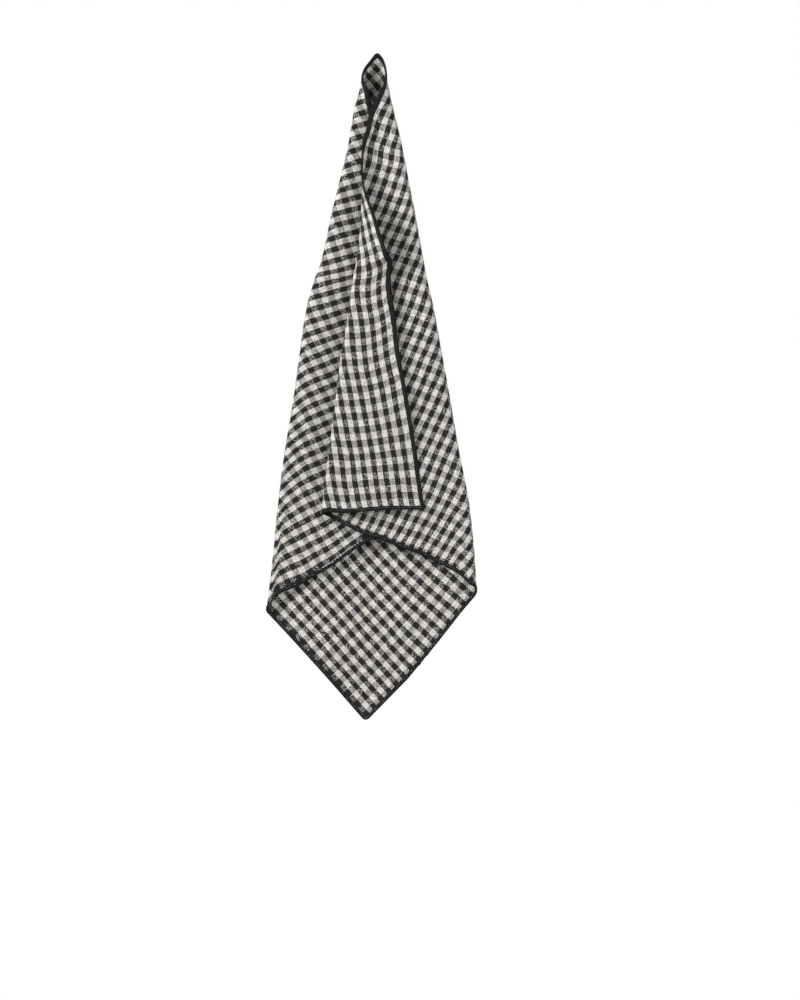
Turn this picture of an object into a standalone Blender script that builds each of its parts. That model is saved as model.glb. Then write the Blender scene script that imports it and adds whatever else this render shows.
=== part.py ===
"""A square gingham linen napkin that hangs by one corner, folded in on itself as it falls.

Metres, +Z up. The origin is the corner that it hangs by, and the napkin faces -Y. The cloth is laid out in
polar form about that corner: reach is the distance from it along the cloth, and angle is measured from the
cloth's diagonal, positive towards the side that ends on top. At each reach the cloth follows one section:
a back run, a wide turn at each outline, a front run, and a tight turn at its end.
"""

import math
from collections import namedtuple

import bmesh
import bpy
import numpy as np

# Lengths in the tables are millimetres on the real napkin.
MM = 0.001
SIDE = 450
THICKNESS = 1.2
LINEN_GREY = (0.19, 0.18, 0.165, 1.0)

# Where each section's folds lie. Across: the diagonal, the right outline, the flap's folded edge, the left
# outline and the hidden tuck. Deep, positive to the back: the back run, the right front, the flap, the left
# front and the tuck's return. flap_tilt is how far the flap's turn goes past a half turn, in degrees: at -90
# its hem points to the front, and at 0 the flap lies flat.
Section = namedtuple(
    "Section",
    "reach diagonal right inner left tuck back right_front flap left_front tuck_return flap_tilt",
)
SECTIONS = (
    Section(0, 0, 5, -5, -5, 5, 0, -9, -15, -9, -6, -90),
    Section(8, 0.4, 6.4, -10, -6.6, 8, 4, -12, -19, -12, -9, -90),
    Section(15, 0.2, 7.9, -12, -10.2, 9, 6, -13.5, -20, -13.5, -10, -90),
    Section(29, -1.2, 9.8, -14, -14, 9, 8, -13.5, -20, -12, -9, -90),
    Section(44, -1.4, 12.6, -17, -17.2, 11, 9, -11, -18, -7.5, -4, -92),
    Section(58, -0.2, 15.8, -18.5, -21.3, 14, 9, -9, -17, -4.5, 0, -95),
    Section(72, 1.0, 19, -17, -23.6, 17, 9, -8.2, -16, -3, 1, -97),
    Section(85, 1.2, 22.2, -16, -25.8, 20, 9, -8, -16, -2.5, 2, -98),
    Section(99, 0.5, 24.9, -13.4, -28.2, 21, 9, -8.5, -16.5, -2.5, 2, -98),
    Section(113, -3.2, 27.6, -13.8, -31.4, 22, 9, -9, -17, -2.5, 2, -96),
    Section(129, -4.2, 30.4, -14, -35.4, 22, 9, -10, -18, -2.5, 2.5, -90),
    Section(146, -4.6, 33.6, -14.5, -39.4, 23, 9, -10.5, -18.5, -2.5, 3, -76),
    Section(160, -4.5, 36.4, -14.7, -42.9, 24, 9, -10.5, -18.5, -2.5, 3, -62.5),
    Section(176, -4.3, 39.2, -15.3, -46.2, 26, 9, -10.2, -18.2, -2.5, 3, -53.5),
    Section(191, -4.2, 41.8, -16.9, -49.3, 28.5, 8.5, -9.8, -17.8, -2, 3, -46),
    Section(206, -4.2, 44.4, -18.4, -52.8, 31, 8.5, -9.2, -17.4, -2, 3, -39),
    Section(215, -4.2, 46, -20.0, -55.2, 33, 8.5, -9, -17.4, -1.5, 3, -30),
    Section(223, -4.3, 47.3, -21.6, -58.2, 34.6, 8.5, -9, -18.4, -1.5, 3, -12),
    Section(235, -4.4, 49.9, -23.7, -62, 37.5, 8.5, -9, -20.6, -1.5, 3, 4),
    Section(255, -4.7, 54.4, -26.5, -67.4, 41, 8, -8.5, -20.4, -1.5, 3, 6),
    Section(272, -4.9, 57.6, -28.6, -70.4, 44, 8, -8.2, -19.2, -1.5, 2.8, 6),
    Section(300, -5.3, 62.4, -33.5, -74.4, 49, 8, -8, -18, -1.5, 2.5, 5),
    Section(350, -6.3, 71.2, -39.5, -81.6, 59, 7.2, -7.5, -17.5, -1.5, 2, 4),
    Section(400, -7.2, 79.6, -45.8, -89.8, 68, 6.2, -7, -16.5, -1.5, 1.5, 3),
    Section(450, -8, 88.9, -51.8, -96, 76, 5.2, -6.5, -15.5, -1.5, 1.2, 2),
    Section(500, -9, 94.2, -55.8, -101, 80, 4.4, -5.8, -14.5, -1.5, 1.2, 0),
    Section(550, -9.8, 97.2, -60, -107, 83, 3.6, -5, -12.5, -1.5, 1, 0),
    Section(650, -11, 102, -66, -113, 88, 3, -4.5, -10.5, -1.5, 1, 0),
)

# How far each layer bulges out at mid width, or sinks inwards (-).
Bulge = namedtuple("Bulge", "reach back right_front left_front")
BULGES = (
    Bulge(0, 0, 0, 0),
    Bulge(60, 1, -1, 0),
    Bulge(100, 2, -5, -2),
    Bulge(125, 3, -7.5, -4),
    Bulge(150, 4.5, -8.5, -7),
    Bulge(200, 7, -8.5, -9),
    Bulge(240, 8, -6.5, -9.5),
    Bulge(270, 8.5, -2, -9.5),
    Bulge(300, 8.5, 0.5, -9),
    Bulge(340, 8, 1.5, -8.5),
    Bulge(420, 6, 1.5, -7),
    Bulge(480, 3.5, 1, -2.2),
    Bulge(560, 1, 0.5, -0.5),
    Bulge(650, 0, 0, 0),
)

# How far the cloth is pushed up (+) or drops (-) for each millimetre along its front runs.
Push = namedtuple("Push", "reach left_front right_front flap")
PUSHES = (
    Push(0, 0, 0, 0),
    Push(180, -0.10, 0, 0),
    Push(216, -0.07, 0, 0),
    Push(236, -0.055, 0, -0.13),
    Push(300, 0, 0, -0.05),
    Push(400, 0.07, 0.02, -0.12),
    Push(650, 0.07, 0.03, -0.14),
)

# The weave gives on the bias: the share that the cloth is longer, at each angle in degrees.
Stretch = namedtuple("Stretch", "angle share")
STRETCHES = (
    Stretch(-45, 0),
    Stretch(-16, 0.004),
    Stretch(-13.5, 0.0115),
    Stretch(-11, 0.0145),
    Stretch(-7.5, 0.0155),
    Stretch(-4, 0.0175),
    Stretch(0, 0.0222),
    Stretch(4, 0.0220),
    Stretch(7, 0.0120),
    Stretch(10, -0.002),
    Stretch(12.5, -0.010),
    Stretch(30, -0.008),
    Stretch(45, 0.004),
)
BIAS_PULL = 0.03  # the share that the cloth draws in sideways where it hangs on the bias

# How far each lower hem bows up (+) or down (-), by the share of its run.
Bow = namedtuple("Bow", "share right_front left_front flap")
BOWS = (
    Bow(0, -2, 7, -0.4),
    Bow(0.07, 2.8, 4.2, -1.2),
    Bow(0.17, 3.3, -3.3, -1.3),
    Bow(0.28, 3.6, -5.4, -0.3),
    Bow(0.45, 0.6, -1.8, 1.3),
    Bow(0.60, -0.9, -1.6, 1.0),
    Bow(0.72, -2.9, 0, -0.6),
    Bow(0.85, -2.4, 0, -4.2),
    Bow(1, -0.7, 0, -9.8),
)
BOW_REACH = 80  # mm above the lower hems over which their bow fades
BOW_START = 4  # mm of front run over which the bow comes in
RIGHT_SETTLE = 7  # mm that the right front sinks towards the back layer at its lower hem
RIGHT_SETTLE_ENDS = (0.5, 0.75)  # shares of its run over which it sinks less, as the left front lies under it
RIGHT_SETTLE_LEAST = 0.5  # the share of it that is left there
FLAP_COVER = 0.6  # the share of the right front that the flap covers
LEFT_SETTLE = 2.4
LEFT_SETTLE_ENDS = (0.35, 0.6)  # shares of the left front's run over which its own settling fades out
SETTLE_REACH = 42
SETTLE_START = 12

# The mesh's columns run down the cloth from the corner, closest together where the turns lie.
Band = namedtuple("Band", "first_angle last_angle columns")
BANDS = (
    Band(-45, -41, 2),
    Band(-41, -35.2, 4),
    Band(-35.2, -32.5, 7),
    Band(-32.5, -18, 5),
    Band(-18, -13.2, 3),
    Band(-13.2, -9, 9),
    Band(-9, 0, 3),
    Band(0, 10, 3),
    Band(10, 15.5, 9),
    Band(15.5, 20, 3),
    Band(20, 30.8, 4),
    Band(30.8, 34, 8),
    Band(34, 40, 8),
    Band(40, 45, 5),
)
ROWS = 32
ROW_CROWDING = 1.3  # above 1, rows crowd towards the corner
DROP_STEP = 2.5  # mm of reach for each step in adding up how far the cloth drops
STEEPEST = 0.25  # the least share of a step that drops


def smooth_rows(rows, reach):
    """Each column of a table at these reaches, on a smooth curve through its rows."""
    table = np.array(rows, dtype=float)
    at = table[:, 0]
    slopes = np.gradient(table, at, axis=0)
    reach = np.clip(reach, at[0], at[-1])
    low = np.clip(np.searchsorted(at, reach, side="right") - 1, 0, len(at) - 2)
    gap = (at[low + 1] - at[low])[..., None]
    t = ((reach - at[low]) / gap[..., 0])[..., None]
    values = (
        table[low] * (1 + 2 * t) * (1 - t) ** 2
        + slopes[low] * gap * t * (1 - t) ** 2
        + table[low + 1] * t**2 * (3 - 2 * t)
        + slopes[low + 1] * gap * t**2 * (t - 1)
    )
    return type(rows[0])(*np.moveaxis(values, -1, 0))


def section_point(reach, angle):
    """Across and depth at this reach and angle, the front and last runs used, and the share of the run."""
    fold = smooth_rows(SECTIONS, reach)
    rightward = angle >= 0
    side = np.where(rightward, 1.0, -1.0)
    half = np.where(rightward, fold.right - fold.diagonal, fold.diagonal - fold.left)
    front = np.where(rightward, fold.right_front, fold.left_front)
    last = np.where(rightward, fold.flap, fold.tuck_return)
    width = np.where(rightward, fold.right - fold.inner, fold.tuck - fold.left)
    tilt = np.where(rightward, np.radians(fold.flap_tilt), 0.0)
    wide = np.minimum((fold.back - front) / 2, half)
    tight = np.abs(front - last) / 2
    turn_end = math.pi + tilt
    front_length = width - wide - tight

    away = np.abs(angle)
    along = reach * (away - BIAS_PULL * (away / 2 + np.sin(4 * away) / 8))
    back_run = np.clip(along, 0, half - wide)
    along = along - (half - wide)
    wide_turn = np.clip(along / wide, 0, math.pi)
    along = along - math.pi * wide
    front_run = np.clip(along, 0, front_length)
    along = along - front_length
    tight_turn = np.clip(along / tight, 0, turn_end)
    last_run = np.clip(along - turn_end * tight, 0, None)

    across = back_run + wide * np.sin(wide_turn) - front_run - tight * np.sin(tight_turn)
    across = fold.diagonal + side * (across + last_run * np.cos(tilt))
    depth = fold.back - wide * (1 - np.cos(wide_turn)) - side * tight * (1 - np.cos(tight_turn))
    depth = depth + last_run * np.sin(tilt)

    bulge = smooth_rows(BULGES, reach)
    turned = wide_turn / math.pi
    from_middle = np.clip(np.abs(across - fold.diagonal) / half, 0, 1)
    right_bulge = bulge.right_front * (1 - from_middle**2)
    left_bulge = bulge.left_front * (1 - from_middle) ** 3
    depth = depth + bulge.back * (1 - from_middle**2) * (1 - turned)
    depth = depth - np.where(rightward, right_bulge, left_bulge) * turned

    whole = reach * math.pi / 4 * (1 - BIAS_PULL / 2)
    last_length = whole - (half - wide) - math.pi * wide - front_length - turn_end * tight
    front_share = front_run / np.maximum(front_length, 1)
    share = np.where(last_run > 0, last_run / np.maximum(last_length, 1), front_share)
    return across, depth, front_run, last_run, np.clip(share, 0, 1)


def drop(reach, angles):
    """How far below the corner each point hangs: the cloth's length less what its turns and leans take up."""
    steps = np.arange(0, SIDE * math.sqrt(2) + DROP_STEP, DROP_STEP)
    along, angle = np.meshgrid(steps, angles)
    across, depth, _, _, _ = section_point(along, angle)
    lean = np.diff(across, axis=1) ** 2 + np.diff(depth, axis=1) ** 2
    down = np.sqrt(np.maximum(DROP_STEP**2 - lean, (STEEPEST * DROP_STEP) ** 2))
    total = np.pad(np.cumsum(down, axis=1), ((0, 0), (1, 0)))
    hung = np.array([np.interp(row, steps, sums) for row, sums in zip(reach, total)])
    table = np.array(STRETCHES)
    share = np.interp(np.degrees(angles), table[:, 0], table[:, 1])
    return hung * (1 + share[:, None])


def column_angles():
    """The columns' angles in radians, from the tucked side to the side on top."""
    starts = [np.linspace(b.first_angle, b.last_angle, b.columns, endpoint=False) for b in BANDS]
    return np.radians(np.append(np.concatenate(starts), BANDS[-1].last_angle))


def cloth_points(angles, shares):
    """The cloth's middle surface in metres, a row of points for each angle."""
    angle, share = np.meshgrid(angles, shares, indexing="ij")
    reach = share * SIDE / np.cos(math.radians(45) - np.abs(angle))
    across, depth, front_run, last_run, run_share = section_point(reach, angle)
    rightward = angle >= 0
    push = smooth_rows(PUSHES, reach)
    right_push = push.right_front * front_run + push.flap * last_run
    lift = np.where(rightward, right_push, push.left_front * front_run)

    # the lower hems bow, and settle on the layer behind them
    from_hem = SIDE * (1 - share)
    bow = smooth_rows(BOWS, run_share)
    right_bow = np.where(last_run > 0, bow.flap, bow.right_front)
    left_bow = bow.left_front * (last_run <= 0)
    fade = np.clip(front_run / BOW_START, 0, 1) * np.exp(-((from_hem / BOW_REACH) ** 2))
    lift = lift + fade * np.where(rightward, right_bow, left_bow)
    left_settle = LEFT_SETTLE * np.interp(run_share, LEFT_SETTLE_ENDS, (1, 0)) * (last_run <= 0)
    right_share = np.where(last_run > 0, 1 - FLAP_COVER * run_share, run_share)
    right_settle = RIGHT_SETTLE * np.interp(right_share, RIGHT_SETTLE_ENDS, (1, RIGHT_SETTLE_LEAST))
    near = np.clip(front_run / SETTLE_START, 0, 1) * np.exp(-((from_hem / SETTLE_REACH) ** 2))
    depth = depth + near * np.where(rightward, right_settle, left_settle)
    return MM * np.stack([across, depth, lift - drop(reach, angles)], axis=-1)


def linen(name):
    material = bpy.data.materials.new(name)
    material.use_nodes = True
    shader = material.node_tree.nodes["Principled BSDF"]
    shader.inputs["Base Color"].default_value = LINEN_GREY
    shader.inputs["Roughness"].default_value = 0.9
    shader.inputs["Metallic"].default_value = 0.0
    return material


def napkin_cloth():
    """One sheet: a fan of triangles at the corner, then quads down to the two lower hems."""
    angles = column_angles()
    shares = (np.arange(1, ROWS + 1) / ROWS) ** ROW_CROWDING
    points = cloth_points(angles, shares)
    sheet = bmesh.new()
    corner = sheet.verts.new((0, 0, 0))
    columns = [[corner] + [sheet.verts.new(point) for point in column] for column in points]
    for left, right in zip(columns, columns[1:]):
        sheet.faces.new((corner, left[1], right[1]))
        for row in range(1, ROWS):
            sheet.faces.new((left[row], left[row + 1], right[row + 1], right[row]))
    bmesh.ops.recalc_face_normals(sheet, faces=sheet.faces)
    mesh = bpy.data.meshes.new("napkin_cloth")
    sheet.to_mesh(mesh)
    sheet.free()
    mesh.shade_smooth()
    mesh.materials.append(linen("gingham_linen"))
    cloth = bpy.data.objects.new("napkin_cloth", mesh)
    bpy.context.scene.collection.objects.link(cloth)
    thick = cloth.modifiers.new("thickness", "SOLIDIFY")
    thick.thickness = THICKNESS * MM
    thick.offset = 0
    return cloth


for old in list(bpy.data.objects):
    bpy.data.objects.remove(old)
napkin_cloth()
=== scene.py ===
import math

import bpy
import numpy as np
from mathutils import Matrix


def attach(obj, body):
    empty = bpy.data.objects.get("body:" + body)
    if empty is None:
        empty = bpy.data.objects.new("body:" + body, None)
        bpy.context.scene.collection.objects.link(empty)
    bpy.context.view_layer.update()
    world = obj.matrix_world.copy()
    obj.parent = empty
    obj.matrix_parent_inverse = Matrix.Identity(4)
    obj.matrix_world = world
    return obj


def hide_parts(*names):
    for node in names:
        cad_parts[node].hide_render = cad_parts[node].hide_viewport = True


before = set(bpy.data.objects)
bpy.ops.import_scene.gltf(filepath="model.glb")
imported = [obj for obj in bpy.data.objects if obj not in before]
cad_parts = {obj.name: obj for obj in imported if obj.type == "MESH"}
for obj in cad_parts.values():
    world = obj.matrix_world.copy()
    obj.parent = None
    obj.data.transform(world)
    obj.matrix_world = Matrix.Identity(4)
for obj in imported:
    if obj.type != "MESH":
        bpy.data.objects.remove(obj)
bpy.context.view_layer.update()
print("frame loaded: 1 cloth node, hanging from its top corner")

mm = 0.001


def linearColour(hexColour):
    # sRGB hex to the linear values that Blender's sockets take
    parts = [int(hexColour[i:i + 2], 16) / 255 for i in (1, 3, 5)]
    linear = [p / 12.92 if p <= 0.04045 else ((p + 0.055) / 1.055) ** 2.4 for p in parts]
    return (*linear, 1.0)


def addNode(tree, kind, settings=None, inputs=None):
    # settings are the node's own options, inputs are values or the outputs to link from
    node = tree.nodes.new(kind)
    for name, value in (settings or {}).items():
        setattr(node, name, value)
    for socket, value in (inputs or {}).items():
        if isinstance(value, bpy.types.NodeSocket):
            tree.links.new(value, node.inputs[socket])
        else:
            node.inputs[socket].default_value = value
    return node


# The fall of the cloth

# Lengths in these tables are mm on the real napkin and angles are degrees from the cloth's diagonal.
# reach is the distance from the top corner along the cloth.
# across: the diagonal, the right outline, the flap's folded edge, the left outline, the hidden tuck
# depth, + to the back: back run, right front, flap, left front, tuck return; then the flap's tilt
foldRows = (
    (0, 0, 5, -5, -5, 5, 0, -9, -15, -9, -6, -90),
    (8, 0.4, 6.4, -10, -6.6, 8, 4, -12, -19, -12, -9, -90),
    (15, 0.2, 7.9, -12, -10.2, 9, 6, -13.5, -20, -13.5, -10, -90),
    (29, -1.2, 9.8, -14, -14, 9, 8, -13.5, -20, -12, -9, -90),
    (44, -1.4, 12.6, -17, -17.2, 11, 9, -11, -18, -7.5, -4, -92),
    (58, -0.2, 15.8, -18.5, -21.3, 14, 9, -9, -17, -4.5, 0, -95),
    (72, 1.0, 19, -17, -23.6, 17, 9, -8.2, -16, -3, 1, -97),
    (85, 1.2, 22.2, -16, -25.8, 20, 9, -8, -16, -2.5, 2, -98),
    (99, 0.5, 24.9, -13.4, -28.2, 21, 9, -8.5, -16.5, -2.5, 2, -98),
    (113, -3.2, 27.6, -13.8, -31.4, 22, 9, -9, -17, -2.5, 2, -96),
    (129, -4.2, 30.4, -14, -35.4, 22, 9, -10, -18, -2.5, 2.5, -90),
    (146, -4.6, 33.6, -14.5, -39.4, 23, 9, -10.5, -18.5, -2.5, 3, -76),
    (160, -4.5, 36.4, -14.7, -42.9, 24, 9, -10.5, -18.5, -2.5, 3, -62.5),
    (176, -4.3, 39.2, -15.3, -46.2, 26, 9, -10.2, -18.2, -2.5, 3, -53.5),
    (191, -4.2, 41.8, -16.9, -49.3, 28.5, 8.5, -9.8, -17.8, -2, 3, -46),
    (206, -4.2, 44.4, -18.4, -52.8, 31, 8.5, -9.2, -17.4, -2, 3, -39),
    (215, -4.2, 46, -20.0, -55.2, 33, 8.5, -9, -17.4, -1.5, 3, -30),
    (223, -4.3, 47.3, -21.6, -58.2, 34.6, 8.5, -9, -18.4, -1.5, 3, -12),
    (235, -4.4, 49.9, -23.7, -62, 37.5, 8.5, -9, -20.6, -1.5, 3, 4),
    (255, -4.7, 54.4, -26.5, -67.4, 41, 8, -8.5, -20.4, -1.5, 3, 6),
    (272, -4.9, 57.6, -28.6, -70.4, 44, 8, -8.2, -19.2, -1.5, 2.8, 6),
    (300, -5.3, 62.4, -33.5, -74.4, 49, 8, -8, -18, -1.5, 2.5, 5),
    (350, -6.3, 71.2, -39.5, -81.6, 59, 7.2, -7.5, -17.5, -1.5, 2, 4),
    (400, -7.2, 79.6, -45.8, -89.8, 68, 6.2, -7, -16.5, -1.5, 1.5, 3),
    (450, -8, 88.9, -51.8, -96, 76, 5.2, -6.5, -15.5, -1.5, 1.2, 2),
    (500, -9, 94.2, -55.8, -101, 80, 4.4, -5.8, -14.5, -1.5, 1.2, 0),
    (550, -9.8, 97.2, -60, -107, 83, 3.6, -5, -12.5, -1.5, 1, 0),
    (650, -11, 102, -66, -113, 88, 3, -4.5, -10.5, -1.5, 1, 0),
)
# share of a run, then how far its lower hem bows there, right front, left front and flap, in mm, + upwards
bowRows = (
    (0, -2, 7, -0.4),
    (0.07, 2.8, 4.2, -1.2),
    (0.17, 3.3, -3.3, -1.3),
    (0.28, 3.6, -5.4, -0.3),
    (0.45, 0.6, -1.8, 1.3),
    (0.60, -0.9, -1.6, 1.0),
    (0.72, -2.9, 0, -0.6),
    (0.85, -2.4, 0, -4.2),
    (1, -0.7, 0, -9.8),
)
# reach, then the push up (+) or down (-) for each mm along the left front, the right front and the flap
pushRows = (
    (0, 0, 0, 0),
    (180, -0.10, 0, 0),
    (216, -0.07, 0, 0),
    (236, -0.055, 0, -0.13),
    (300, 0, 0, -0.05),
    (400, 0.07, 0.02, -0.12),
    (650, 0.07, 0.03, -0.14),
)
# angle, then the share that the cloth is longer there, because the weave gives on the bias
stretchRows = ((-45, 0), (-16, 0.004), (-13.5, 0.0115), (-11, 0.0145), (-7.5, 0.0155), (-4, 0.0175),
               (0, 0.0222),
               (4, 0.0220), (7, 0.0120), (10, -0.002), (12.5, -0.010), (30, -0.008), (45, 0.004))

# reach, then how far the back layer, the right front and the left front bulge at mid width, in mm,
# - where they sink inwards
bulgeRows = (
    (0, 0, 0, 0),
    (60, 1, -1, 0),
    (100, 2, -5, -2),
    (125, 3, -7.5, -4),
    (150, 4.5, -8.5, -7),
    (200, 7, -8.5, -9),
    (240, 8, -6.5, -9.5),
    (270, 8.5, -2, -9.5),
    (300, 8.5, 0.5, -9),
    (340, 8, 1.5, -8.5),
    (420, 6, 1.5, -7),
    (480, 3.5, 1, -2.2),
    (560, 1, 0.5, -0.5),
    (650, 0, 0, 0),
)
# soft flutes that fan out from the hanging corner down the back layer: degrees from one to the next, start,
# and depth in mm
flutes = ((13.0, 0.8, 1.1), (7.7, 2.2, 0.7))
# creases given one by one: where on the flat cloth, how they run (degrees from u), half width and length,
# and depth
creases = (
    {"place": (215, 30), "turn": -78, "width": 7, "length": 34, "depth": 1.6},
)
# slow unevenness of the whole cloth, in waves for each mm
swells = (
    {"alongU": 0.0105, "alongV": 0.0042, "start": 0.6, "depth": 0.5},
    {"alongU": -0.0048, "alongV": 0.0131, "start": 2.1, "depth": 0.4},
)

fall = {
    "side": 450,  # mm, the cut square
    "dropStep": 2.5,  # mm of reach for each step in adding up the drop
    "steepest": 0.25,  # the least share of a step that drops
    "dropAngles": 721,
    "biasPull": 0.03,  # the share that the cloth draws in where it hangs on the bias
    "bowReach": 80,  # mm above the lower hems over which their bow fades
    "settle": (7.0,
               2.4),  # mm that the right and the left front sink onto the layer behind at their lower hems
    # the right front sinks less over these shares of its run, where the left front lies under it
    "rightSettleEnds": (0.5, 0.75),
    "rightSettleLeast": 0.5,  # the share of its settling that is left there
    "flapCover": 0.6,  # the share of the right front that the flap covers
    "leftSettleEnds": (0.35, 0.6),  # shares of the left front's run over which its settling fades out
    "settleReach": 42,  # mm above the lower hems over which it fades
    "settleStart": 12,  # mm along a front run over which it comes in
    "bowStart": 4,  # and the bow
    "flutesFrom": 160,  # mm of reach where the flutes start
    "flutesOver": 260,  # mm over which they grow to their depth
    "swellReach": 200,  # mm of reach over which the swells grow
    "lip": 3.0,  # mm that the rolled side hem below the leaf takes out of the stripe beside it
    "lipReach": (66, 82, 100, 112),  # mm of reach where it starts, is whole, and ends
    "lipForward": 1.3,  # mm that it comes forward for each mm it takes
    "lipStripe": (3.4, 8.6),  # mm in from the hem that it takes the cloth from
}


def smoothRows(rows, reach):
    # the table's columns at these reaches, on a smooth curve through its rows
    table = np.array(rows, dtype=float)
    at = table[:, 0]
    slopes = np.gradient(table, at, axis=0)
    reach = np.clip(reach, at[0], at[-1])
    low = np.clip(np.searchsorted(at, reach, side="right") - 1, 0, len(at) - 2)
    gap = (at[low + 1] - at[low])[..., None]
    t = ((reach - at[low]) / gap[..., 0])[..., None]
    values = table[low] * (1 + 2 * t) * (1 - t) ** 2 + slopes[low] * gap * t * (1 - t) ** 2
    values += table[low + 1] * t ** 2 * (3 - 2 * t) + slopes[low + 1] * gap * t ** 2 * (t - 1)
    return np.moveaxis(values, -1, 0)


def sectionPoint(reach, angle):
    # a back run, a wide turn at the outline, a front run, a tight turn, a last run
    (_, diagonal, right, inner, left, tuck,
     back, rightFront, flap, leftFront, tuckReturn, flapTilt) = smoothRows(foldRows, reach)
    rightward = angle >= 0
    sideways = np.where(rightward, 1.0, -1.0)
    half = np.where(rightward, right - diagonal, diagonal - left)
    front = np.where(rightward, rightFront, leftFront)
    last = np.where(rightward, flap, tuckReturn)
    width = np.where(rightward, right - inner, tuck - left)
    tilt = np.where(rightward, np.radians(flapTilt), 0.0)
    wide = np.minimum((back - front) / 2, half)
    tight = np.abs(front - last) / 2
    frontLength = width - wide - tight

    away = np.abs(angle)
    along = reach * (away - fall["biasPull"] * (away / 2 + np.sin(4 * away) / 8))
    # the rolled hem below the leaf: the stripe beside the hem stands on edge
    lipFrom, lipTo = fall["lipStripe"]
    fromHem = reach * np.sin(np.clip(math.pi / 4 - angle, 0, 1))
    lipShare = np.clip((lipTo - fromHem) / (lipTo - lipFrom), 0, 1)
    lipShare = lipShare * np.interp(reach, fall["lipReach"], (0, 1, 1, 0))
    along = along - fall["lip"] * lipShare
    backRun = np.clip(along, 0, half - wide)
    along = along - (half - wide)
    wideTurn = np.clip(along / wide, 0, math.pi)
    along = along - math.pi * wide
    frontRun = np.clip(along, 0, frontLength)
    along = along - frontLength
    turnEnd = math.pi + tilt
    tightTurn = np.clip(along / tight, 0, turnEnd)
    lastRun = np.clip(along - turnEnd * tight, 0, None)

    across = backRun + wide * np.sin(wideTurn) - frontRun - tight * np.sin(tightTurn)
    across = diagonal + sideways * (across + lastRun * np.cos(tilt))
    depth = back - wide * (1 - np.cos(wideTurn)) - sideways * tight * (1 - np.cos(tightTurn))
    depth = depth + lastRun * np.sin(tilt) - fall["lip"] * fall["lipForward"] * lipShare
    # the layers bulge between the outlines, the back one to the back and the others to the front
    _, backBulge, rightBulge, leftBulge = smoothRows(bulgeRows, reach)
    share = np.clip(np.abs(across - diagonal) / half, 0, 1)
    turned = wideTurn / math.pi
    frontBulge = np.where(rightward, rightBulge * (1 - share ** 2), leftBulge * (1 - share) ** 3)
    depth = depth + backBulge * (1 - share ** 2) * (1 - turned) - frontBulge * turned
    for spacing, start, deep in flutes:
        flute = np.sin(2 * math.pi * np.degrees(angle) / spacing + start)
        grown = np.clip((reach - fall["flutesFrom"]) / fall["flutesOver"], 0, 1)
        depth = depth + deep * flute * grown ** 2 * (3 - 2 * grown) * (1 - turned)
    wholeRun = reach * math.pi / 4 * (1 - fall["biasPull"] / 2) - (half - wide)
    wholeRun = wholeRun - math.pi * wide - frontLength - turnEnd * tight
    lastShare = lastRun / np.maximum(wholeRun, 1)
    frontShare = frontRun / np.maximum(frontLength, 1)
    runShare = np.clip(np.where(lastRun > 0, lastShare, frontShare), 0, 1)
    return across, depth, frontRun, lastRun, runShare


def makeDropTable():
    # how far each point hangs below the corner: its length of cloth, less what turns and leans take up
    steps = np.arange(0, fall["side"] * math.sqrt(2) + 4 * fall["dropStep"], fall["dropStep"])
    angles = np.radians(np.linspace(-50, 50, fall["dropAngles"]))
    along, angle = np.meshgrid(steps, angles)
    across, depth, _, _, _ = sectionPoint(along, angle)
    lean = np.diff(across, axis=1) ** 2 + np.diff(depth, axis=1) ** 2
    down = np.sqrt(np.maximum(fall["dropStep"] ** 2 - lean, (fall["steepest"] * fall["dropStep"]) ** 2))
    total = np.pad(np.cumsum(down, axis=1), ((0, 0), (1, 0)))
    stretch = np.array(stretchRows)
    share = np.interp(np.degrees(angles), stretch[:, 0], stretch[:, 1])
    return angles, steps, total * (1 + share[:, None])


dropAngles, dropSteps, dropTable = makeDropTable()


def dropAt(reach, angle):
    # the drop table read between its rows and columns
    row = np.clip((angle - dropAngles[0]) / (dropAngles[1] - dropAngles[0]), 0, len(dropAngles) - 1.001)
    column = np.clip(reach / fall["dropStep"], 0, len(dropSteps) - 1.001)
    i, j = row.astype(int), column.astype(int)
    s, t = row - i, column - j
    above = dropTable[i, j] * (1 - t) + dropTable[i, j + 1] * t
    below = dropTable[i + 1, j] * (1 - t) + dropTable[i + 1, j + 1] * t
    return above * (1 - s) + below * s


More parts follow.
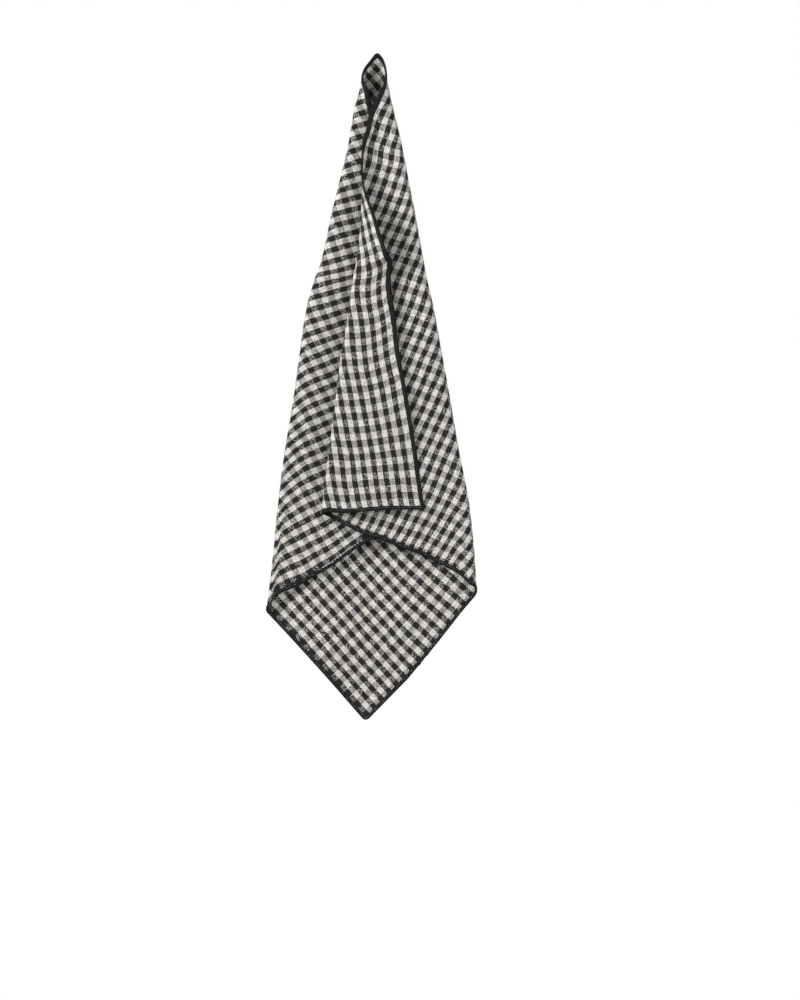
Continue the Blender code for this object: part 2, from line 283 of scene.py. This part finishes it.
def hang(u, v):
    # u mm along the side that ends on the flap, v mm along the tucked side; gives points in metres
    reach = np.hypot(u, v)
    angle = math.pi / 4 - np.arctan2(v, u)
    across, depth, frontRun, lastRun, runShare = sectionPoint(reach, angle)
    _, leftPush, rightPush, flapPush = smoothRows(pushRows, reach)
    lift = np.where(angle >= 0, rightPush * frontRun + flapPush * lastRun, leftPush * frontRun)
    # the front layers settle on the one behind at their lower hems
    rightSettle, leftSettle = fall["settle"]
    fromHem = fall["side"] - np.where(angle >= 0, u, v)
    settled = np.exp(-(fromHem / fall["settleReach"]) ** 2) * np.clip(frontRun / fall["settleStart"], 0, 1)
    rightShare = np.where(lastRun > 0, 1 - fall["flapCover"] * runShare, runShare)
    rightSettled = np.interp(rightShare, fall["rightSettleEnds"], (1, fall["rightSettleLeast"]))
    leftSettled = np.interp(runShare, fall["leftSettleEnds"], (1, 0)) * (lastRun <= 0)
    settled = settled * np.where(angle >= 0, rightSettled, leftSettled)
    depth = depth + settled * np.where(angle >= 0, rightSettle, leftSettle)
    _, rightBow, leftBow, flapBow = smoothRows(bowRows, runShare)
    still = np.clip(frontRun / fall["bowStart"], 0, 1) * np.exp(-(fromHem / fall["bowReach"]) ** 2)
    rightBow = np.where(lastRun > 0, flapBow, rightBow)
    lift = lift + still * np.where(angle >= 0, rightBow, leftBow * (lastRun <= 0))
    height = lift - dropAt(reach, angle)
    for crease in creases:
        offU, offV = u - crease["place"][0], v - crease["place"][1]
        turn = math.radians(crease["turn"])
        acrossIt = offU * math.sin(turn) + offV * math.cos(turn)
        alongIt = offU * math.cos(turn) - offV * math.sin(turn)
        rise = np.exp(-(acrossIt / crease["width"]) ** 2) * np.exp(-(np.abs(alongIt) / crease["length"]) ** 3)
        depth = depth - crease["depth"] * rise
    for swell in swells:
        wave = np.sin(2 * math.pi * (u * swell["alongU"] + v * swell["alongV"]) + swell["start"])
        depth = depth + swell["depth"] * wave * np.clip(reach / fall["swellReach"], 0, 1)
    return mm * np.stack([across, depth, height], axis=-1)


def clothNormals(u, v):
    step = 0.4  # mm each way
    alongU = hang(u + step, v) - hang(u - step, v)
    alongV = hang(u, v + step) - hang(u, v - step)
    normal = np.cross(alongU, alongV)
    return normal / np.linalg.norm(normal, axis=-1, keepdims=True)


def roundCorners(u, v):
    # squeezes each corner of the flat square onto its own quarter circle
    side = fall["side"]
    fromU = np.minimum(u, side - u)
    fromV = np.minimum(v, side - v)
    radius = np.where(np.maximum(u, v) < side / 2, cloth["hungRadius"], cloth["cornerRadius"])
    pu = np.clip(radius - fromU, 0, None)
    pv = np.clip(radius - fromV, 0, None)
    both = (pu > 0) & (pv > 0)
    scale = np.where(both, np.maximum(pu, pv) / np.maximum(np.hypot(pu, pv), 1e-9), 1.0)
    newU = np.where(both, radius - pu * scale, fromU)
    newV = np.where(both, radius - pv * scale, fromV)
    return np.where(u <= side / 2, newU, side - newU), np.where(v <= side / 2, newV, side - newV)


def newPiece(name, mesh, materials):
    piece = bpy.data.objects.new(name, mesh)
    bpy.context.scene.collection.objects.link(piece)
    for material in materials:
        mesh.materials.append(material)
    mesh.shade_smooth()
    return piece


# The linen

linen = {
    "paleYarn": "#cbc8c4",  # bleached flax, a soft off-white
    "creamYarn": "#cac5b8",  # where the flax kept more of its straw colour
    "blackYarn": "#252321",  # black dye, a little brown
    "inkYarn": "#242129",  # where the dye took bluer
    "checkV": 5.15,  # mm, width of the stripes that run along the flap's side hem
    "checkU": 6.45,  # mm, width of the stripes that run across them
    "threadsV": 6,  # threads in a stripe, fewer and coarser than real linen's 9 so that the weave shows
    "threadsU": 7,
    "startV": 8.9,  # mm in from the flap's side hem, where a black stripe starts
    "startU": 8.25,  # mm in from the tucked side hem, where a black stripe starts
    "offGrain": 0.011,  # mm that the cut strays from the thread for each mm
    "overBias": 0.50,  # lets the threads along the flap's side hem cover more of the face
    "paintedMixedShade": 0.70,  # a pale thread among black ones gets less light
    "slub": 1.9,  # painted shade: a check where black crosses pale is darkened, as if its pale threads got less light
    "slubRun": 0.9,  # how fast thick and thin change from one crossing to the next
    "slubApart": (7.37, 31.43),  # keeps the slubs of neighbouring threads and of the two families unlike
    "wander": 0.7,  # mm that the threads stray
    "strayScale": 0.035,  # waves for each mm
    "weaveHeight": 0.42,  # how far a thread goes over and under, in thread heights
    "threadRound": 0.5,  # how high the middle of a thread stands over its sides
    "overSoft": 0.05,  # how sharply one thread gives way to the next
    "toneScale": 0.11,  # waves for each mm
    "toneRange": (0.56, 0.74),  # where in the noise one tone gives way to the other
    "valleyHeights": (0.1, 1.1),  # thread heights between which the painted shade and painted highlight run
    "paintedValleyShades": (0.50, 1.24),  # painted shade, darkest between threads, and painted highlight, palest on top of them
    "bump": 0.5,  # share of the full bump
    "bumpDepth": 0.15,  # mm
    "roughness": 0.9,  # matt
    "specular": 0.12,
    "sheen": 0.02,
}


def ginghamLinen():
    # Plain-woven yarn-dyed linen: matt, dry to the eye, streaked with slubs where black crosses white
    material = bpy.data.materials.new("ginghamLinen")
    material.use_nodes = True
    tree = material.node_tree
    shader = tree.nodes["Principled BSDF"]

    # flat place on the cloth in mm, with threads that stray a little
    uv = addNode(tree, "ShaderNodeUVMap", {"uv_map": "flat"})
    place = addNode(tree, "ShaderNodeVectorMath", {"operation": "SCALE"},
                    {0: uv.outputs[0], "Scale": fall["side"]})
    stray = addNode(tree, "ShaderNodeTexNoise", {"noise_dimensions": "2D"},
                    {"Vector": place.outputs[0], "Scale": linen["strayScale"], "Detail": 2.0})
    centred = addNode(tree, "ShaderNodeVectorMath", {"operation": "SUBTRACT"},
                      {0: stray.outputs["Color"], 1: (0.5, 0.5, 0.5)})
    offset = addNode(tree, "ShaderNodeVectorMath", {"operation": "SCALE"},
                     {0: centred.outputs[0], "Scale": 2 * linen["wander"]})
    moved = addNode(tree, "ShaderNodeVectorMath", {"operation": "ADD"},
                    {0: place.outputs[0], 1: offset.outputs[0]})
    phased = addNode(tree, "ShaderNodeVectorMath", {"operation": "ADD"},
                     {0: moved.outputs[0], 1: (-linen["startU"], -linen["startV"], 0)})
    flat = addNode(tree, "ShaderNodeSeparateXYZ", {}, {0: phased.outputs[0]})
    skewed = addNode(tree, "ShaderNodeMath", {"operation": "MULTIPLY_ADD"},
                     {0: flat.outputs[1], 1: linen["offGrain"], 2: flat.outputs[0]})

    # a family of threads runs along u and is told apart by v, and the other the other way
    pitchU = linen["checkU"] / linen["threadsU"]
    pitchV = linen["checkV"] / linen["threadsV"]
    countV = addNode(tree, "ShaderNodeMath", {"operation": "DIVIDE"},
                     {0: flat.outputs[1], 1: pitchV}).outputs[0]
    countU = addNode(tree, "ShaderNodeMath", {"operation": "DIVIDE"},
                     {0: skewed.outputs[0], 1: pitchU}).outputs[0]
    families = []
    for count, other, threads, tilt in ((countV, countU, linen["threadsV"], 1),
                                        (countU, countV, linen["threadsU"], -1)):
        index = addNode(tree, "ShaderNodeMath", {"operation": "FLOOR"}, {0: count}).outputs[0]
        within = addNode(tree, "ShaderNodeMath", {"operation": "FRACT"}, {0: count}).outputs[0]
        acrossAngle = addNode(tree, "ShaderNodeMath", {"operation": "MULTIPLY"},
                              {0: within, 1: math.pi}).outputs[0]
        roundness = addNode(tree, "ShaderNodeMath", {"operation": "SINE"}, {0: acrossAngle}).outputs[0]
        # over and under the crossing threads in turn
        turn = addNode(tree, "ShaderNodeMath", {"operation": "ADD"}, {0: other, 1: index}).outputs[0]
        turnAngle = addNode(tree, "ShaderNodeMath", {"operation": "MULTIPLY"},
                            {0: turn, 1: math.pi}).outputs[0]
        wave = addNode(tree, "ShaderNodeMath", {"operation": "SINE"}, {0: turnAngle}).outputs[0]
        # slubs: long thick and thin places, their own on each thread
        slubPlace = addNode(tree, "ShaderNodeCombineXYZ", {},
                            {0: other, 1: index, 2: float(tilt)}).outputs[0]
        stretched = addNode(tree, "ShaderNodeVectorMath", {"operation": "MULTIPLY"},
                            {0: slubPlace, 1: (linen["slubRun"], *linen["slubApart"])}).outputs[0]
        slub = addNode(tree, "ShaderNodeTexNoise", {},
                       {"Vector": stretched, "Scale": 1.0, "Detail": 2.0, "Roughness": 0.6}).outputs[0]
        thick = addNode(tree, "ShaderNodeMath", {"operation": "MULTIPLY_ADD"},
                        {0: slub, 1: 2 * linen["slub"], 2: -linen["slub"]}).outputs[0]
        waved = addNode(tree, "ShaderNodeMath", {"operation": "MULTIPLY_ADD"},
                        {0: wave, 1: linen["weaveHeight"] * tilt, 2: thick}).outputs[0]
        height = addNode(tree, "ShaderNodeMath", {"operation": "MULTIPLY_ADD"},
                         {0: roundness, 1: linen["threadRound"], 2: waved}).outputs[0]
        # whole threads are black or pale, a stripe of each in turn
        share = addNode(tree, "ShaderNodeMath", {"operation": "MULTIPLY_ADD"},
                        {0: index, 1: 0.5 / threads, 2: 0.25 / threads}).outputs[0]
        part = addNode(tree, "ShaderNodeMath", {"operation": "FRACT"}, {0: share}).outputs[0]
        black = addNode(tree, "ShaderNodeMath", {"operation": "LESS_THAN"}, {0: part, 1: 0.5}).outputs[0]
        families.append({"height": height, "black": black, "slub": slub})

    # each dye lot wanders between two tones over a few mm
    toneNoise = addNode(tree, "ShaderNodeTexNoise", {"noise_dimensions": "2D"},
                        {"Vector": place.outputs[0], "Scale": linen["toneScale"], "Detail": 1.0})
    tone = addNode(tree, "ShaderNodeMapRange", {},
                   {"Value": toneNoise.outputs[0], "From Min": linen["toneRange"][0],
                    "From Max": linen["toneRange"][1]}).outputs[0]
    pale = addNode(tree, "ShaderNodeMix", {"data_type": "RGBA"},
                   {0: tone, 6: linearColour(linen["paleYarn"]),
                    7: linearColour(linen["creamYarn"])}).outputs[2]
    dark = addNode(tree, "ShaderNodeMix", {"data_type": "RGBA"},
                   {0: tone, 6: linearColour(linen["blackYarn"]),
                    7: linearColour(linen["inkYarn"])}).outputs[2]
    for family in families:
        family["colour"] = addNode(tree, "ShaderNodeMix", {"data_type": "RGBA"},
                                   {0: family["black"], 6: pale, 7: dark}).outputs[2]

    # the higher thread is the one that shows
    first, second = families
    lead = addNode(tree, "ShaderNodeMath", {"operation": "SUBTRACT"},
                   {0: first["height"], 1: second["height"]}).outputs[0]
    soft, bias = linen["overSoft"], linen["overBias"]
    over = addNode(tree, "ShaderNodeMapRange", {},
                   {"Value": lead, "From Min": -soft - bias, "From Max": soft - bias}).outputs[0]
    woven = addNode(tree, "ShaderNodeMix", {"data_type": "RGBA"},
                    {0: over, 6: second["colour"], 7: first["colour"]}).outputs[2]
    top = addNode(tree, "ShaderNodeMath", {"operation": "MAXIMUM"},
                  {0: first["height"], 1: second["height"]}).outputs[0]

    # painted shade: valleys between threads are darkened and thread tops lightened in the colour itself, and
    # a check where black crosses pale is darkened too
    differ = addNode(tree, "ShaderNodeMath", {"operation": "SUBTRACT"},
                     {0: first["black"], 1: second["black"]}).outputs[0]
    mixed = addNode(tree, "ShaderNodeMath", {"operation": "ABSOLUTE"}, {0: differ}).outputs[0]
    # painted shade in the checks where black crosses pale
    paintedMixedShade = addNode(tree, "ShaderNodeMapRange", {},
                         {"Value": mixed, "To Min": 1.0, "To Max": linen["paintedMixedShade"]}).outputs[0]
    low, high = linen["valleyHeights"]
    darkest, palest = linen["paintedValleyShades"]
    # painted shade between the threads and painted highlight on their tops
    paintedValleyShade = addNode(tree, "ShaderNodeMapRange", {},
                     {"Value": top, "From Min": low, "From Max": high, "To Min": darkest,
                      "To Max": palest}).outputs[0]
    # the painted shade and highlight multiply the woven colour
    paintedShade = addNode(tree, "ShaderNodeMath", {"operation": "MULTIPLY"},
                    {0: paintedMixedShade, 1: paintedValleyShade}).outputs[0]
    coloured = addNode(tree, "ShaderNodeVectorMath", {"operation": "SCALE"},
                       {0: woven, "Scale": paintedShade}).outputs[0]
    tree.links.new(coloured, shader.inputs["Base Color"])

    bump = addNode(tree, "ShaderNodeBump", {},
                   {"Height": top, "Strength": linen["bump"], "Distance": linen["bumpDepth"] * mm})
    tree.links.new(bump.outputs[0], shader.inputs["Normal"])
    shader.inputs["Roughness"].default_value = linen["roughness"]
    shader.inputs["IOR"].default_value = 1.5
    shader.inputs["Specular IOR Level"].default_value = linen["specular"]
    shader.inputs["Sheen Weight"].default_value = linen["sheen"]
    shader.inputs["Sheen Roughness"].default_value = 0.5
    return material


cloth = {
    "thickness": 0.7,  # mm
    "cornerRadius": 5,
    "hungRadius": 1.5,  # the corner that it hangs by is drawn to a point
    "rows": 180,
    "rowCrowding": 1.15,
    # first angle, last angle, columns between them; close where the turns lie
    "bands": ((-45, -41, 8), (-41, -35.2, 14), (-35.2, -32.5, 16), (-32.5, -18, 24), (-18, -13.2, 12),
              (-13.2, -9, 22), (-9, 0, 16), (0, 10, 16), (10, 15.5, 28), (15.5, 20, 10), (20, 30.8, 18),
              (30.8, 34, 20), (34, 40, 22),
              (40, 45, 14)),
}


def napkinSheet():
    starts = [np.linspace(first, last, count, endpoint=False) for first, last, count in cloth["bands"]]
    angles = np.radians(np.append(np.concatenate(starts), cloth["bands"][-1][1]))
    shares = (np.arange(1, cloth["rows"] + 1) / cloth["rows"]) ** cloth["rowCrowding"]
    angle, share = np.meshgrid(angles, shares, indexing="ij")
    reach = share * fall["side"] / np.cos(math.pi / 4 - np.abs(angle))
    u = reach * np.cos(math.pi / 4 - angle)
    v = reach * np.sin(math.pi / 4 - angle)
    u = np.append(u.ravel(), 0.0)
    v = np.append(v.ravel(), 0.0)
    u, v = roundCorners(np.clip(u, 0, fall["side"]), np.clip(v, 0, fall["side"]))
    points = hang(u, v)

    columns, rows = angle.shape
    index = np.arange(columns * rows).reshape(columns, rows)
    corner = columns * rows
    fan = np.stack([np.full(columns - 1, corner), index[:-1, 0], index[1:, 0]], axis=-1)
    quads = np.stack([index[:-1, :-1], index[:-1, 1:], index[1:, 1:], index[1:, :-1]], axis=-1)
    quads = quads.reshape(-1, 4)
    mesh = bpy.data.meshes.new("napkinSheet")
    mesh.from_pydata(points.tolist(), [], fan.tolist() + quads.tolist())
    loopVertices = np.empty(len(mesh.loops), dtype=np.int32)
    mesh.loops.foreach_get("vertex_index", loopVertices)
    layer = mesh.uv_layers.new(name="flat")
    flat = np.stack([u, v], axis=-1)[loopVertices] / fall["side"]
    layer.data.foreach_set("uv", flat.ravel().astype(np.float32))
    sheet = newPiece("napkinSheet", mesh, [ginghamLinen()])
    thick = sheet.modifiers.new("thickness", "SOLIDIFY")
    thick.thickness = cloth["thickness"] * mm
    thick.offset = 0
    return sheet


sheet = napkinSheet()
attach(sheet, "root")
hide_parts("napkin_cloth")
print("cloth hung:", len(sheet.data.polygons), "faces")


# The overlocked edge

edge = {
    "width": 3.6,  # mm in from the cloth's edge
    "waver": 0.38,  # mm that the width comes and goes
    "halfThickness": 0.9,
    "stitchPitch": 1.3,  # mm, coarser than the real 0.8 so that the threads show
    "ringsPerStitch": 4,
    "ridge": 0.16,  # mm that each thread stands up
    "slant": 0.35,  # stitches of lean across the band
    "threadBlack": "#110f10",
    "slowWaves": (61.0, 143.0),  # mm, lengths of the waves in which its width comes and goes
    "quickWaves": (8.9, 37.0),
    "knotHalf": 1.6,  # mm, half length of a knot
    "knotPush": 0.6,  # how far a knot pushes outwards in the cloth's plane, for each mm of its size
    "knotRise": 0.4,  # and off its faces
    "fibreScale": 1400.0,  # waves for each m, for the fibres of a thread
    "toneScale": 190.0,  # and for the tone along it
}
# inward from the cloth's edge and out from its middle surface, as shares of the width and half thickness
edgeSection = (
    (0.98, 0.45), (0.80, 0.90), (0.50, 1.00), (0.20, 0.92), (-0.04, 0.60), (-0.10, 0.0),
    (-0.04, -0.60), (0.20, -0.92), (0.50, -1.00), (0.80, -0.90), (0.98, -0.45),
)
# knots where the thread was joined: mm round the edge from the hanging corner, and how far each stands out
knots = ((822, 0.9), (811, 0.6), (612, 0.4), (627, 0.8), (645, 0.5), (655, 0.6), (668, 0.5), (247, 0.5),
         (1180, 0.5), (1466, 0.4))


def edgeLength():
    # the outline's length: four straights and four corners of two sizes
    side, big, small = fall["side"], cloth["cornerRadius"], cloth["hungRadius"]
    return 4 * side - 2 * (3 * big + small) + math.pi / 2 * (3 * big + small)


def edgePlace(s):
    # places on the flat square's outline, s mm round it from the hanging corner, and the inward way at each
    side, big, small = fall["side"], cloth["cornerRadius"], cloth["hungRadius"]
    x, y = np.zeros_like(s), np.zeros_like(s)
    inX, inY = np.zeros_like(s), np.zeros_like(s)
    start = small * math.pi / 4
    s = np.mod(s - start, edgeLength())
    ways = ((1, 0), (0, 1), (-1, 0), (0, -1))
    corners = ((0, 0), (side, 0), (side, side), (0, side))
    radii = (small, big, big, big)
    begin = 0.0
    for leg, (wayX, wayY) in enumerate(ways):
        before, after = radii[leg], radii[(leg + 1) % 4]
        straight = side - before - after
        quarter = math.pi * after / 2
        local = s - begin
        here = (local >= 0) & (local < straight + quarter)
        turn = np.clip((local - straight) / after, 0, math.pi / 2)
        run = before + np.minimum(local, straight) + after * np.sin(turn)
        rise = after * (1 - np.cos(turn))
        # the inward side of each leg is its left
        cornerX, cornerY = corners[leg]
        x = np.where(here, cornerX + wayX * run - wayY * rise, x)
        y = np.where(here, cornerY + wayY * run + wayX * rise, y)
        inX = np.where(here, -wayY * np.cos(turn) - wayX * np.sin(turn), inX)
        inY = np.where(here, wayX * np.cos(turn) - wayY * np.sin(turn), inY)
        begin += straight + quarter
    return x, y, inX, inY


def spunThread(name, colour, roughness, level, paleShare):
    # Spun polyester thread, packed side by side: near-black with a soft satin gloss along each turn
    material = bpy.data.materials.new(name)
    material.use_nodes = True
    tree = material.node_tree
    shader = tree.nodes["Principled BSDF"]
    coordinates = addNode(tree, "ShaderNodeTexCoord")
    fibre = addNode(tree, "ShaderNodeTexNoise", {},
                    {"Vector": coordinates.outputs["Object"], "Scale": edge["fibreScale"], "Detail": 2.0})
    along = addNode(tree, "ShaderNodeTexNoise", {},
                    {"Vector": coordinates.outputs["Object"], "Scale": edge["toneScale"], "Detail": 1.0})
    fine = addNode(tree, "ShaderNodeMapRange", {},
                   {"Value": fibre.outputs[0], "From Min": 0.3, "From Max": 0.7, "To Min": 0.75,
                    "To Max": 1.3})
    slow = addNode(tree, "ShaderNodeMapRange", {},
                   {"Value": along.outputs[0], "From Min": 0.35, "From Max": 0.65, "To Min": 1 - paleShare,
                    "To Max": 1 + paleShare})
    tone = addNode(tree, "ShaderNodeMath", {"operation": "MULTIPLY"},
                   {0: fine.outputs[0], 1: slow.outputs[0]})
    shaded = addNode(tree, "ShaderNodeVectorMath", {"operation": "SCALE"},
                     {0: linearColour(colour)[:3], "Scale": tone.outputs[0]})
    tree.links.new(shaded.outputs[0], shader.inputs["Base Color"])
    shader.inputs["Roughness"].default_value = roughness
    shader.inputs["Specular IOR Level"].default_value = level
    return material


# where the band is wider: mm round the edge, extra width and half length
widenings = ((62, 1.3, 18), (245, 1.4, 40), (1738, 1.3, 18))


def edgeWidth(s):
    # sewn by hand and eye, so the band comes and goes a little
    shorter, longer = edge["slowWaves"]
    slow = np.sin(2 * math.pi * s / shorter + 0.7) * np.sin(2 * math.pi * s / longer)
    shorter, longer = edge["quickWaves"]
    quick = 0.5 * np.sin(2 * math.pi * s / shorter + 1.9 * np.sin(2 * math.pi * s / longer))
    extra = sum(more * np.exp(-((s - place) / half) ** 2) for place, more, half in widenings)
    return edge["width"] + extra + edge["waver"] * (slow + quick)


def edgeGrowth(s):
    # knots of thread stand out of the band
    growth = np.zeros_like(s)
    for place, size in knots:
        growth = growth + size * np.exp(-((s - place) / edge["knotHalf"]) ** 2)
    return growth


def overlockEdge():
    total = edgeLength()
    rings = int(round(total / edge["stitchPitch"])) * edge["ringsPerStitch"]
    s = np.arange(rings) * total / rings
    x, y, inX, inY = edgePlace(s)
    section = np.array(edgeSection)
    growth = edgeGrowth(s)[:, None]
    pushed = growth * (1 - section[None, :, 0]) * edge["knotPush"]
    inward = section[None, :, 0] * edgeWidth(s)[:, None] - pushed
    face = section[None, :, 1]
    u = x[:, None] + inX[:, None] * inward
    v = y[:, None] + inY[:, None] * inward
    # slanted threads on both faces, meeting round the outer edge
    lean = edge["slant"] * section[None, :, 0] * np.sign(face)
    phase = s[:, None] * (rings / edge["ringsPerStitch"] / total) + lean
    ridge = edge["ridge"] * np.cos(2 * math.pi * phase)
    out = face * (edge["halfThickness"] + ridge + edge["knotRise"] * growth)
    points = hang(u, v) + clothNormals(u, v) * (out * mm)[..., None]

    around = len(section)
    index = np.arange(rings * around).reshape(rings, around)
    nextRing = np.roll(index, -1, axis=0)
    quads = np.stack([index, nextRing, np.roll(nextRing, -1, axis=1), np.roll(index, -1, axis=1)], axis=-1)
    mesh = bpy.data.meshes.new("overlockEdge")
    mesh.from_pydata(points.reshape(-1, 3).tolist(), [], quads.reshape(-1, 4).tolist())
    thread = spunThread("blackOverlockThread", edge["threadBlack"], 0.75, 0.2, 0.25)
    return newPiece("overlockEdge", mesh, [thread])


edging = overlockEdge()
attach(edging, "root")
print("edge overlocked:", len(edging.data.polygons), "faces")


# Needle stitches, which hold the overlock down

needle = {
    "pitch": 3.4,  # mm from stitch to stitch
    "showing": 2.7,  # mm of each that lies on the band
    "radius": 0.27,
    "rings": 6,
    "sides": 6,
    "sink": 0.34,  # mm that some of them lie deeper, drawn into the band
    "seed": 5,
    "bandShare": 0.9,  # a stitch further in than this share of the width lies on the cloth beside the band
    "lying": (1.05, 0.72),  # how far out a stitch lies on the band and beside it, in half thicknesses
    "dip": 0.35,  # mm that its ends go down
    "greyThread": "#5a585b",
    "paleThread": "#bdbbb7",
    "darkThread": "#2c2a2c",
}
# face, share of the band's width, first and last mm round the edge, which thread, and how thick for its kind
needleRows = (
    (1, 0.52, 0, 450, 2, 1),
    (-1, 0.52, 0, 450, 2, 1),
    (1, 0.52, 450, 1350, 0, 1),
    (-1, 0.52, 450, 545, 0, 1),
    (-1, 0.52, 700, 1350, 0, 1),
    (-1, 0.52, 545, 700, 2, 1),
    (1, 0.52, 1350, 1800, 2, 1),
    (-1, 0.52, 1350, 1800, 2, 1),
    (1, 1.0, 1106, 1152, 1, 1.5),
    (1, 1.0, 1183, 1210, 1, 1.5),
)


def needleStitches():
    total = edgeLength()
    sides, rings = needle["sides"], needle["rings"]
    along = np.linspace(-0.5, 0.5, rings) * needle["showing"]
    swell = np.sqrt(np.clip(1 - (2 * np.linspace(-0.5, 0.5, rings)) ** 4, 0.02, 1))
    ring = 2 * math.pi * np.arange(sides) / sides
    points, faces, slots = [], [], []
    pull = np.random.default_rng(needle["seed"])
    for face, share, first, last, slotIndex, thick in needleRows:
        count = int((min(last, total) - first) / needle["pitch"])
        middle = first + (np.arange(count) + 0.5) * needle["pitch"]
        s = middle[:, None] + along[None, :]
        x, y, inX, inY = edgePlace(s)
        radius = needle["radius"] * thick
        inward = share * edgeWidth(s)[..., None] + radius * np.cos(ring)
        u = x[..., None] + inX[..., None] * inward
        v = y[..., None] + inY[..., None] * inward
        # each stitch lies on the band in its middle and goes down into it at its ends
        onBand = share < needle["bandShare"]
        sunk = needle["sink"] * pull.random(count)[:, None, None] * onBand
        lying = edge["halfThickness"] * needle["lying"][0 if onBand else 1]
        lying = lying - needle["dip"] * (1 - swell[None, :, None]) - sunk
        out = face * (lying + radius * np.sin(ring) * swell[None, :, None])
        place = hang(u, v) + clothNormals(u, v) * (out * mm)[..., None]
        base = sum(len(p) for p in points)
        points.append(place.reshape(-1, 3))
        index = base + np.arange(count * rings * sides).reshape(count, rings, sides)
        a, b = index[:, :-1], index[:, 1:]
        quads = np.stack([a, b, np.roll(b, -1, axis=2), np.roll(a, -1, axis=2)], axis=-1).reshape(-1, 4)
        caps = np.concatenate([index[:, 0], index[:, -1, ::-1]])
        faces += quads.tolist() + caps.tolist()
        slots += [slotIndex] * (len(quads) + len(caps))
    mesh = bpy.data.meshes.new("needleStitches")
    mesh.from_pydata(np.concatenate(points).tolist(), [], faces)
    threads = [
        spunThread("greyNeedleThread", needle["greyThread"], 0.5, 0.5, 0.6),
        spunThread("paleNeedleThread", needle["paleThread"], 0.5, 0.5, 0.3),
        spunThread("darkNeedleThread", needle["darkThread"], 0.6, 0.3, 0.5),
    ]
    stitches = newPiece("needleStitches", mesh, threads)
    mesh.polygons.foreach_set("material_index", slots)
    return stitches


stitches = needleStitches()
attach(stitches, "root")
print("stitched:", len(stitches.data.polygons), "faces")


# Studio

studio = {
    "mmPerPixel": 0.968,
    "cornerPixel": (376.7, 53.0),  # where the photograph shows the hanging corner, of 800 x 1000
    "frameSize": (800, 1000),
    "distance": 4.0,  # m from the napkin to the lens
    "sensor": 36.0,
    "floorDrop": 2.9,  # m below the hanging corner, far enough for a camera that looks up at it
    "floorRadius": 14.0,
    "floorSides": 96,
    "floorColour": "#fcfcfb",
    "floorRoughness": 0.95,
    "lightsAim": (0.0, 0.0, -0.35),
    "skySeen": 1.0,  # how bright the surround looks
    "skyLight": 0.61,  # and how much of it lights the cloth, less so that the folds keep their soft shading
}


# name, place and disc size in m, power in W
lights = (
    ("keyLight", (-2.3, -1.5, 0.8), 0.8, 87),
    ("fillLight", (2.2, -1.5, 0.3), 0.8, 26),
    ("backLight", (0.4, 2.4, 0.7), 1.2, 10),
)


def studioCamera():
    pixel = studio["mmPerPixel"] * mm
    width, height = studio["frameSize"]
    centreX = (width / 2 - studio["cornerPixel"][0]) * pixel
    centreZ = -(height / 2 - studio["cornerPixel"][1]) * pixel
    data = bpy.data.cameras.new("camera")
    data.sensor_width = studio["sensor"]
    data.lens = studio["sensor"] * studio["distance"] / (height * pixel)
    camera = bpy.data.objects.new("camera", data)
    camera.location = (centreX, -studio["distance"], centreZ)
    camera.rotation_euler = (math.pi / 2, 0, 0)
    bpy.context.scene.collection.objects.link(camera)
    bpy.context.scene.camera = camera


def studioFloor():
    # a wide pale disc, so that it has no edge near the napkin
    mesh = bpy.data.meshes.new("floor")
    sides = studio["floorSides"]
    turn = 2 * math.pi * np.arange(sides) / sides
    rim = np.stack([np.cos(turn), np.sin(turn), np.zeros(sides)], axis=-1) * studio["floorRadius"]
    rim[:, 2] = -studio["floorDrop"]
    mesh.from_pydata(rim.tolist(), [], [list(range(sides))])
    # matt emulsion paint, with no gloss to mirror the cloth
    paint = bpy.data.materials.new("paleFloor")
    paint.use_nodes = True
    shader = paint.node_tree.nodes["Principled BSDF"]
    shader.inputs["Base Color"].default_value = linearColour(studio["floorColour"])
    shader.inputs["Roughness"].default_value = studio["floorRoughness"]
    newPiece("floor", mesh, [paint])


def softLight(name, place, size, power):
    data = bpy.data.lights.new(name, "AREA")
    data.shape = "DISK"
    data.size = size
    data.energy = power
    light = bpy.data.objects.new(name, data)
    light.location = place
    aim = np.array(studio["lightsAim"]) - np.array(place)
    light.rotation_euler = (math.atan2(math.hypot(aim[0], aim[1]), -aim[2]), 0, math.atan2(-aim[0], aim[1]))
    bpy.context.scene.collection.objects.link(light)


def whiteSurround():
    world = bpy.data.worlds.new("whiteSurround")
    world.use_nodes = True
    tree = world.node_tree
    background = tree.nodes["Background"]
    background.inputs["Color"].default_value = (1, 1, 1, 1)
    seen = addNode(tree, "ShaderNodeLightPath").outputs["Is Camera Ray"]
    strength = addNode(tree, "ShaderNodeMapRange", {},
                       {"Value": seen, "To Min": studio["skyLight"], "To Max": studio["skySeen"]})
    tree.links.new(strength.outputs[0], background.inputs["Strength"])
    bpy.context.scene.world = world


studioCamera()
studioFloor()
whiteSurround()
for lightName, place, size, power in lights:
    softLight(lightName, place, size, power)
bpy.context.scene.view_settings.view_transform = "Standard"
print("studio set")
